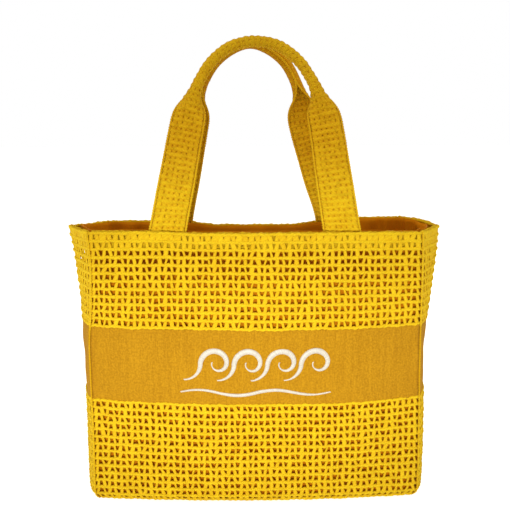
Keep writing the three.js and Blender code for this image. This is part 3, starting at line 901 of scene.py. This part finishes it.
class Handle:
    # where a strap's cloth lies: a runs -1..1 over its width, s along it, out from its middle
    def __init__(self, name):
        self.name, self.side = name, strapSides[name]
        self.hinge = joints[f"{name}_handle_swing"]["pos_m"]
        self.centre, self.run = handleLine(*handleShape["pulls"][name])
        edge = (handleShape["legSpacing"] + handleShape["strapWidth"]) / bagShape["rimSeamSpan"]
        middle = handleShape["legSpacing"] / bagShape["rimSeamSpan"]
        bow = max(0.0, float(outAt(name, np.array(edge), 1.0) - outAt(name, np.array(middle), 1.0)))
        self.offset = (rimThickness + layers["strap"]) / 2 + handleShape["swingGap"] + bow
        gripY = handleShape["gripsMeetAt"] - self.side * (handleShape["gripDepth"] + handleShape["gripGap"]) / 2
        reach = math.hypot(handleShape["rise"], self.offset)
        self.lean = (math.asin(self.side * (gripY - self.hinge[1]) / reach)
                     - math.atan2(self.offset, handleShape["rise"]))

    def place(self, a, s, out):
        centre = np.column_stack([np.interp(s, self.run, self.centre[:, axis]) for axis in range(2)])
        slope = np.gradient(self.centre, self.run, axis=0)
        tangent = np.column_stack([np.interp(s, self.run, slope[:, axis]) for axis in range(2)])
        tangent /= np.linalg.norm(tangent, axis=1, keepdims=True)
        up = centre[:, 1]
        flatWidth = mix(handleShape["strapWidth"], handleShape["legTopWidth"],
                        np.clip(up / handleShape["legHeight"], 0, 1))
        top = handleShape["legHeight"]
        folded = smoothStep(top - 0.004, mix(top, handleShape["rise"], 0.55), up)
        turn = np.maximum(folded * 2 * math.pi * handleShape["wrap"], 0.02)
        radius = (flatWidth - handleShape["foldGather"] * folded) / turn + handleShape["foldSwell"] * folded
        angle = a * turn / 2
        sunk = np.sin(turn / 2) / (turn / 2)
        # each long edge also curls a little where the strap is flat
        curl = handleShape["curl"] * (1 - folded) * np.abs(a) ** 6
        out = out * mix(1.0, handleShape["foldThinner"], folded)
        narrow, deep = (mix(1.0, share, folded) for share in handleShape["foldOval"])
        inPlane = (radius + out) * np.sin(angle) * narrow
        outOfPlane = (radius * (np.cos(angle) - sunk) + out * np.cos(angle)) * deep - curl
        square = smoothStep(handleShape["strapStart"], top / 2, up)
        x = centre[:, 0] + inPlane * tangent[:, 1]
        z = up - inPlane * tangent[:, 0] * square
        y = self.side * (self.offset - outOfPlane)
        angle = -self.side * self.lean
        leaned = np.column_stack([x, y * math.cos(angle) - z * math.sin(angle) + self.hinge[1],
                                  y * math.sin(angle) + z * math.cos(angle) + self.hinge[2]])
        height = np.minimum(up + self.hinge[2], bagHeight)
        sewn = wallPoint(self.name, self.side * x / panelHalf(height / bagHeight), lengthAt(height),
                         tabDepth + layers["strap"] / 2 - outOfPlane)
        sewn[:, 2] = z + self.hinge[2]
        return mix(soften(sewn), leaned, smoothStep(-0.010, 0.004, up)[:, None])


def shadeUpStraps(piece):
    # painted shade for the light that falls off up the handles: the yarn is darkened a little low on the legs,
    # most at the shoulders and the grip
    up = readPoints(piece)[:, 2] - bagHeight
    grip = smoothStep(handleShape["legHeight"], handleShape["rise"], up)
    legs = smoothStep(0.2, 0.85, up / handleShape["legHeight"])
    darkness = mix(handleShape["wearLow"], handleShape["wearHigh"], legs)
    writeDarkness(piece, darkness - handleShape["gripWear"] * grip)


def makeHandle(name, seed):
    handle = Handle(name)
    shape = handleShape
    length = handle.run[-1]
    rows = int(length / shape["row"])
    rowPitch = length / (rows + 2 * strapStitch["ridgeHeight"])
    inner = 1 - 2 * shape["edgeCord"] / shape["strapWidth"]

    def place(u, v, out):
        a = (u / shape["columns"] * 2 - 1) * inner * -handle.side
        return handle.place(a, rowPitch * (v + strapStitch["ridgeHeight"]), out)

    cloth = crochetPanel(f"{name}HandleStrap", shape["columns"], rows, shape["strapWidth"] / shape["columns"],
                         rowPitch, layers["strap"], place, lambda level: np.ones(len(level)), seed, strapStitch)
    run = np.linspace(0.001, length - 0.001, 200)
    across, along = np.meshgrid(np.linspace(-0.97, 0.97, 15), run)
    inside = handle.place(across.ravel(), along.ravel(), np.zeros(across.size)).reshape(*across.shape, 3)
    core = clothSheet(f"{name}Core", inside, np.stack([across, along], -1), shape["core"])
    writeVectors(core, "strand", np.zeros((len(core.data.vertices), 3)))
    # painted shade: the hidden core takes the darkest yarn colour, as the shade between the strap's stitches
    writeVectors(core, "stitch", np.tile([0, -1, 0], (len(core.data.vertices), 1)))
    run = np.linspace(0, length, 420)
    cords = [core]
    for index, a in enumerate((-1.0, 1.0)):
        path = handle.place(np.full(len(run), a), run, np.full(len(run), 0.0004))
        beside = handle.place(np.full(len(run), a), run, np.full(len(run), 0.0034))
        cords.append(makeRope(f"{name}EdgeCord{index}", path, beside - path, shape["edgeCord"],
                              shape["edgePitch"], seed + index, bumps=shape["edgeBumps"]))
    strap = joinPieces(f"{name}HandleStrap", [cloth, *cords])
    shadeUpStraps(strap)
    finishPiece(strap, None, "crochet", yarn, f"{name}_handle_strap", f"{name}_left_strap_end",
                f"{name}_right_strap_end")
    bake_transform(strap)

    middle, half = length / 2, shape["gripSeamLength"] / 2
    run = np.linspace(middle - half, middle + half, 150)
    path = handle.place(np.full(len(run), 1.0), run, np.full(len(run), 0.0022))
    path = (path + handle.place(np.full(len(run), -1.0), run, np.full(len(run), 0.0022))) / 2
    outward = np.broadcast_to([0, handle.side, 0], path.shape).astype(float)
    path = path + outward * shape["gripSeamLift"]
    seam = makeRope(f"{name}GripSeam", path, outward, shape["gripSeamRadius"], shape["gripSeamPitch"], seed + 7)
    shadeUpStraps(seam)
    finishPiece(seam, f"{name}_handle", "crochet", yarn, f"{name}_grip_seam")
    print("handle:", name, len(strap.data.polygons))


makeHandle("front", 51)
makeHandle("back", 61)


waveShape = {
    "count": 4, "size": 0.0195, "foot": 0.020, "gap": 0.0022, "stroke": 0.0065, "turns": 1.05, "taper": 0.3,
    "lift": 0.005, "footShare": 0.3, "swashLength": 0.176, "swashDrop": 0.030,
    "sway": 0.003, "thread": 0.00062, "slant": 0.0006, "raise": 0.0014, "roundness": 0.75, "seat": 0.0012,
}


def satinStroke(name, pointAt, widthAt, node, seed):
    # threads laid side by side across a padded line; each has a crest and a gap
    shape = waveShape
    share = np.linspace(0, 1, 2000)
    line = pointAt(share)
    run = np.concatenate([[0], np.cumsum(np.linalg.norm(np.diff(line, axis=0), axis=1))])
    threads = int(run[-1] / shape["thread"])
    share = np.interp(np.linspace(0, run[-1], 2 * threads + 1), run, share)
    rng = np.random.default_rng(seed)
    points = pointAt(share)
    tangent = np.gradient(points, axis=0)
    tangent /= np.linalg.norm(tangent, axis=1, keepdims=True)
    across = np.column_stack([tangent[:, 1], -tangent[:, 0]])
    crest = (np.arange(len(share)) % 2)[:, None]
    sides = 12
    angle = np.linspace(0, 2 * math.pi, sides, endpoint=False)[None, :]
    width = widthAt(share)[:, None] / 2 * (1 + 0.05 * crest + rng.uniform(-0.04, 0.04, (len(share), 1)))
    slant = shape["slant"] * np.cos(angle)
    side = np.cos(angle) * width
    high = np.where(np.sin(angle) > 0, np.abs(np.sin(angle)) ** shape["roundness"], 0)
    tall = shape["raise"] * (0.55 + 0.45 * np.minimum(1, width / 0.003)) * (0.86 + 0.14 * crest)
    rise = high * tall - shape["seat"] * (np.sin(angle) < -0.1)
    flat = points[:, None] + across[:, None] * side[..., None] + tangent[:, None] * slant[..., None]
    height = (bandLow + bandHigh) / 2 + flat[..., 1]
    place = soften(wallPoint("front", flat[..., 0] / panelHalf(height / bagHeight), lengthAt(height),
                             layers["canvasRecess"] - rise))
    stroke = meshPiece(name, place, gridFaces(len(share), sides, closed=True))
    tone = np.repeat(rng.uniform(-1, 1, len(share)), sides)
    # painted shade: every other thread, the crest, is painted light and the threads between it darker
    raisedShade = np.broadcast_to(crest * 1.0, (len(share), sides)).ravel()
    writeVectors(stroke, "stitch", np.column_stack([tone, raisedShade, raisedShade]))
    tidyShell(stroke, weld=1e-7)
    finishPiece(stroke, "bag", "embroidery", satinThread, node)


def makeEmbroidery():
    shape = waveShape
    crest = shape["size"] * shape["taper"] ** (0.5 / shape["turns"])
    pitch = shape["size"] + crest + shape["stroke"] + shape["gap"]

    def swell(share):
        return shape["stroke"] * mix(0.24, 1, np.sin(math.pi * np.minimum(1, share * 1.12)) ** 1.4)

    for index in range(shape["count"]):
        centre = (index - (shape["count"] - 1) / 2) * pitch + (shape["size"] + shape["foot"] - crest) / 2

        def curl(share):
            rise = np.minimum(share / shape["footShare"], 1) * math.pi / 2
            inner = np.maximum(share - shape["footShare"], 0) / (1 - shape["footShare"])
            turn = math.pi * (1 - 2 * shape["turns"] * inner)
            radius = shape["size"] * shape["taper"] ** inner
            slopeX = centre - shape["size"] - shape["foot"] * (1 - np.sin(rise))
            onSlope = share < shape["footShare"]
            x = np.where(onSlope, slopeX, centre + radius * np.cos(turn))
            up = np.where(onSlope, -shape["foot"] * np.cos(rise), radius * np.sin(turn))
            return np.column_stack([x, shape["lift"] + up])

        satinStroke(f"embroideredWave{index + 1}", curl, swell, f"embroidered_wave_{index + 1}", 71 + index)

    def sway(share):
        return np.column_stack([(share - 0.5) * shape["swashLength"],
                                shape["sway"] * np.sin(4 * math.pi * share) - shape["swashDrop"]])

    def thin(share):
        return shape["stroke"] * mix(0.24, 0.62, np.sin(math.pi * share))

    satinStroke("embroideredSwash", sway, thin, "embroidered_swash", 81)
    print("embroidery done")


makeEmbroidery()


studio = {
    "cameraPlace": (-0.0077, -0.7764, 0.4404), "pitchDown": 10.74, "yaw": 0.65, "roll": 0.25,
    "fieldOfView": 43.28, "sensor": 36, "nearest": 0.01,
    "ambient": 0.535, "ambientColour": rgba(1.0, 0.87, 0.62),
    "paper": 0.80, "floorGlow": 0.12, "floorSeen": 0.9,
    "keyCone": 23.2, "keySoftness": 0.22, "keyWidth": 1.7,
    "lights": {   # place, aim, size, power
        "keyLight": ((-0.14, -1.6, 0.16), (-0.02, 0, 0.155), 0, 84.0),
        "fillLight": ((0.0, -0.45, 1.6), (0, 0, 0.5), 0.5, 3.4),
        "leftLight": ((-1.7, 0.0, 0.4), (0, 0, 0.2), 0.9, 4.5),
        "rightLight": ((1.7, 0.0, 0.4), (0, 0, 0.2), 0.9, 3.0),
        "backLight": ((0.2, 1.7, 0.5), (0, 0, 0.2), 0.9, 14.0),
    },
}


def addLight(name, place, aim, size, power):
    kind = "AREA" if size else "SPOT"
    data = bpy.data.lights.new(name, kind)
    data.energy = power
    if size:
        data.size = size
    light = bpy.data.objects.new(name, data)
    bpy.context.scene.collection.objects.link(light)
    light.location = place
    towards = np.array(aim) - np.array(place)
    light.rotation_euler = (math.atan2(math.hypot(towards[0], towards[1]), -towards[2]), 0,
                            math.atan2(towards[1], towards[0]) - math.pi / 2)
    return light


def makeWorld():
    # bare white behind the bag, and a warm even light on it
    world = bpy.data.worlds.new("studioWhite")
    world.use_nodes = True
    nodes, links = world.node_tree.nodes, world.node_tree.links
    seen = nodes.new("ShaderNodeLightPath")
    strength = nodes.new("ShaderNodeMapRange")
    strength.inputs["To Min"].default_value = studio["ambient"]
    links.new(seen.outputs["Is Camera Ray"], strength.inputs["Value"])
    links.new(strength.outputs["Result"], nodes["Background"].inputs["Strength"])
    tint = nodes.new("ShaderNodeMix")
    tint.data_type = "RGBA"
    tint.inputs[6].default_value = studio["ambientColour"]
    tint.inputs[7].default_value = rgba(1.0, 1.0, 1.0)
    links.new(seen.outputs["Is Camera Ray"], tint.inputs[0])
    links.new(tint.outputs[2], nodes["Background"].inputs["Color"])
    bpy.context.scene.world = world


def makeFloor():
    deselectAll()
    bpy.ops.mesh.primitive_plane_add(size=40, location=(0, 0, -0.0004))
    floor = bpy.context.object
    floor.name = "studioFloor"
    white, glow, shown = (rgba(*[studio[key]] * 3) for key in ("paper", "floorGlow", "floorSeen"))
    paper = Shader("studioPaper", Roughness=0.9, Base_Color=white, Emission_Strength=1.0)
    seen = paper.add("ShaderNodeLightPath", {}, {}, "Is Camera Ray")
    paper.give("Emission Color", paper.blend(seen, glow, shown))
    floor.data.materials.append(paper.material)


def makeCamera():
    data = bpy.data.cameras.new("camera")
    data.sensor_width = studio["sensor"]
    data.angle = math.radians(studio["fieldOfView"])
    data.clip_start = studio["nearest"]
    camera = bpy.data.objects.new("camera", data)
    bpy.context.scene.collection.objects.link(camera)
    camera.location = studio["cameraPlace"]
    camera.rotation_euler = (math.radians(90 - studio["pitchDown"]), math.radians(studio["roll"]),
                             math.radians(-studio["yaw"]))
    bpy.context.scene.camera = camera


def makeStudio():
    bpy.context.scene.view_settings.view_transform = "Standard"
    makeWorld()
    makeFloor()
    for name, (place, aim, size, power) in studio["lights"].items():
        light = addLight(name, place, aim, size, power)
        if name == "keyLight":
            light.data.spot_size = math.radians(studio["keyCone"])
            light.data.spot_blend = 1.0
            light.data.shadow_soft_size = studio["keySoftness"]
            light.scale = (studio["keyWidth"], 1, 1)
    makeCamera()


makeStudio()
print("studio done")
